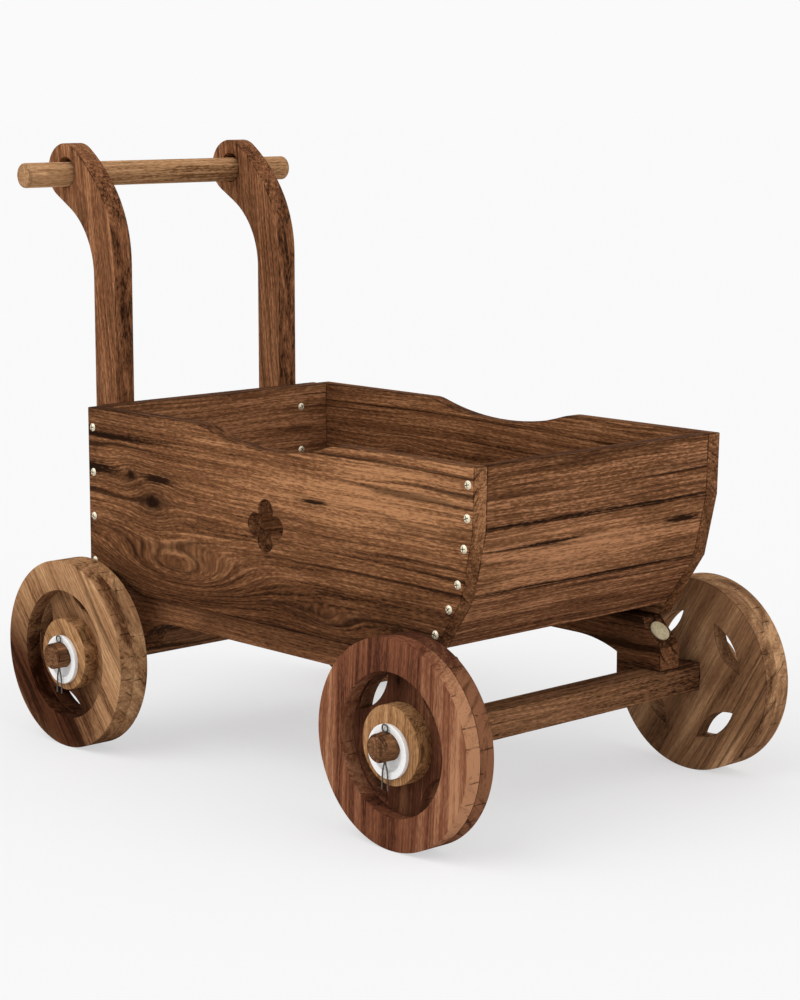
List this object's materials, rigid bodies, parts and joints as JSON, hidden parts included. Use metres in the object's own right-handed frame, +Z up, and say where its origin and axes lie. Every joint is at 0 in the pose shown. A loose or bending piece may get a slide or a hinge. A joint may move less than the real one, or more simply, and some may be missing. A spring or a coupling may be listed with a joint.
{
  "type": "flower cart stand",
  "caption": "Wooden display cart: an open planter box with scooped sides and a raked front on bridge-shaped bearers, turning disc wheels and a push bar between curved arms.",
  "frame": {"origin": "on the ground under the middle of the bounding box", "axes": "+X towards the raked front, +Y towards the left wheels, +Z up; the handle is at -X"},
  "size_m": [0.7225, 0.463, 0.601],
  "materials": {
    "burnt_wood": "scorched and brushed",
    "board_wood": "scorched and brushed",
    "wheel_disc_wood": "scorched and brushed",
    "wheel_rim_wood": "scorched and brushed",
    "pale_wood": "lightly scorched",
    "washer": "matt",
    "pin_steel": "dull",
    "screw_steel": "pale plated"
  },
  "bodies": {
    "cart": {"arm_screws_left": "screw_steel", "arm_screws_right": "screw_steel", "axle_beam_front": "burnt_wood", "axle_beam_rear": "burnt_wood", "bar_screws": "screw_steel", "beam_screws_front": "screw_steel", "beam_screws_rear": "screw_steel", "floor_batten_front": "board_wood", "floor_batten_middle": "board_wood", "floor_batten_rear": "board_wood", "floor_board_1": "board_wood", "floor_board_2": "board_wood", "floor_board_3": "board_wood", "floor_board_4": "board_wood", "floor_screws": "screw_steel", "front_board_lower": "board_wood", "front_board_middle": "board_wood", "front_board_upper": "board_wood", "handle_arm_left": "burnt_wood", "handle_arm_right": "burnt_wood", "handle_bar": "pale_wood", "rail_left": "burnt_wood", "rail_plug_left": "pale_wood", "rail_plug_right": "pale_wood", "rail_right": "burnt_wood", "rear_board_lower": "board_wood", "rear_board_upper": "board_wood", "side_panel_left": "burnt_wood", "side_panel_right": "burnt_wood", "side_screws_left": "screw_steel", "side_screws_right": "screw_steel", "split_pin_front_left": "pin_steel", "split_pin_front_right": "pin_steel", "split_pin_rear_left": "pin_steel", "split_pin_rear_right": "pin_steel", "washer_front_left": "washer", "washer_front_right": "washer", "washer_rear_left": "washer", "washer_rear_right": "washer"},
    "wheel_front_left": {"wheel_disc_front_left": "wheel_disc_wood", "wheel_rim_front_left": "wheel_rim_wood", "wheel_hub_front_left": "pale_wood"},
    "wheel_front_right": {"wheel_disc_front_right": "wheel_disc_wood", "wheel_rim_front_right": "wheel_rim_wood", "wheel_hub_front_right": "pale_wood"},
    "wheel_rear_left": {"wheel_disc_rear_left": "wheel_disc_wood", "wheel_rim_rear_left": "wheel_rim_wood", "wheel_hub_rear_left": "pale_wood"},
    "wheel_rear_right": {"wheel_disc_rear_right": "wheel_disc_wood", "wheel_rim_rear_right": "wheel_rim_wood", "wheel_hub_rear_right": "pale_wood"}
  },
  "joints": [
    {"name": "wheel_front_left_spin", "type": "hinge", "parent": "cart", "child": "wheel_front_left", "pos_m": [0.26625, 0.1985, 0.095], "axis": [0, 1, 0], "continuous": true},
    {"name": "wheel_front_right_spin", "type": "hinge", "parent": "cart", "child": "wheel_front_right", "pos_m": [0.26625, -0.1985, 0.095], "axis": [0, 1, 0], "continuous": true},
    {"name": "wheel_rear_left_spin", "type": "hinge", "parent": "cart", "child": "wheel_rear_left", "pos_m": [-0.21825, 0.1985, 0.095], "axis": [0, 1, 0], "continuous": true},
    {"name": "wheel_rear_right_spin", "type": "hinge", "parent": "cart", "child": "wheel_rear_right", "pos_m": [-0.21825, -0.1985, 0.095], "axis": [0, 1, 0], "continuous": true}
  ]
}
